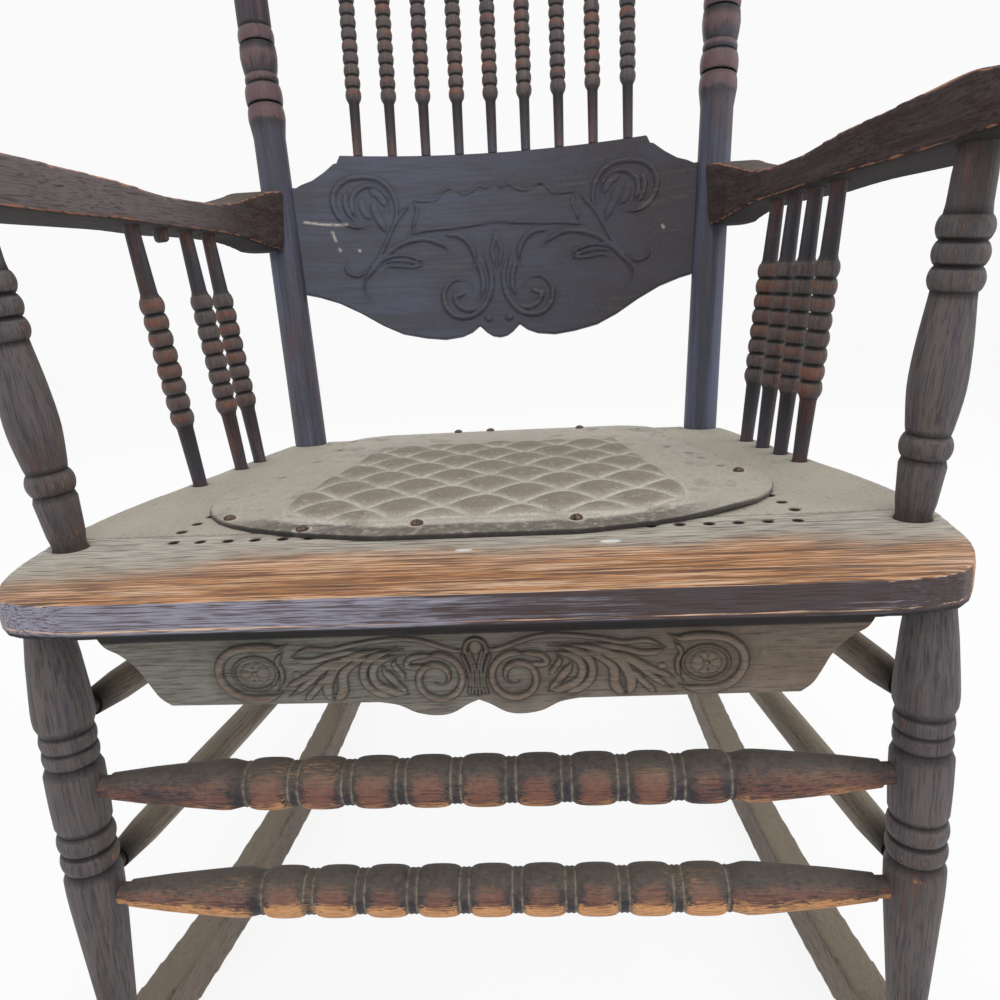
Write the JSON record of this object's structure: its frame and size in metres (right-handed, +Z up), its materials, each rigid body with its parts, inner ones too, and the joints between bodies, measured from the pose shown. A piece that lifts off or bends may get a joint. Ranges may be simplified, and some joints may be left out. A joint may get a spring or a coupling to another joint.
{
  "type": "armchair rocker",
  "caption": "Wooden armchair rocker with a pressed back panel, bobbin-turned spindles, an embossed seat panel, a carved apron and curved runners.",
  "frame": {"origin": "on the floor, under the middle of the seat's front edge", "axes": "+Z up, +Y to the chair's back, +X to the right as seen from the front"},
  "size_m": [0.6446, 0.7969, 1.0599],
  "materials": {
    "oak_dark": "old dark stain, slightly glossy where worn",
    "oak_worn": "dark stain worn through to orange-brown oak",
    "oak_dusty": "stained oak under grey dust",
    "fibre_panel": "embossed leather board, dusty",
    "hidden_wood": "bare wood",
    "tack_iron": "rusty",
    "screw_steel": "dull steel"
  },
  "bodies": {
    "root": {"seat_front_board": "oak_worn", "seat_left_board": "oak_dusty", "seat_right_board": "oak_dusty", "seat_back_board": "oak_dusty", "seat_dowels": "hidden_wood", "seat_panel": "fibre_panel", "panel_tacks": "tack_iron", "front_apron": "oak_dusty", "apron_glue_blocks": "hidden_wood", "front_leg_left": "oak_worn", "front_leg_right": "oak_worn", "rear_leg_left": "oak_worn", "rear_leg_right": "oak_worn", "runner_left": "oak_dusty", "runner_right": "oak_dusty", "foot_pins": "hidden_wood", "front_stretcher_upper": "oak_worn", "front_stretcher_lower": "oak_worn", "rear_stretcher": "oak_dusty", "side_stretcher_upper_left": "oak_dusty", "side_stretcher_upper_right": "oak_dusty", "side_stretcher_lower_left": "oak_dusty", "side_stretcher_lower_right": "oak_dusty", "back_post_left": "oak_dark", "back_post_right": "oak_dark", "back_panel": "oak_dark", "crest_rail": "oak_dark", "back_spindle_1": "oak_worn", "back_spindle_2": "oak_worn", "back_spindle_3": "oak_worn", "back_spindle_4": "oak_worn", "back_spindle_5": "oak_worn", "back_spindle_6": "oak_worn", "back_spindle_7": "oak_worn", "back_spindle_8": "oak_worn", "back_spindle_9": "oak_worn", "arm_left": "oak_worn", "arm_right": "oak_worn", "arm_screws": "screw_steel", "arm_post_left": "oak_worn", "arm_post_right": "oak_worn", "arm_spindle_left_1": "oak_worn", "arm_spindle_left_2_stub": "oak_worn", "arm_spindle_left_3": "oak_worn", "arm_spindle_left_4": "oak_worn", "arm_spindle_right_1": "oak_worn", "arm_spindle_right_2": "oak_worn", "arm_spindle_right_3": "oak_worn", "arm_spindle_right_4": "oak_worn"}
  },
  "joints": []
}
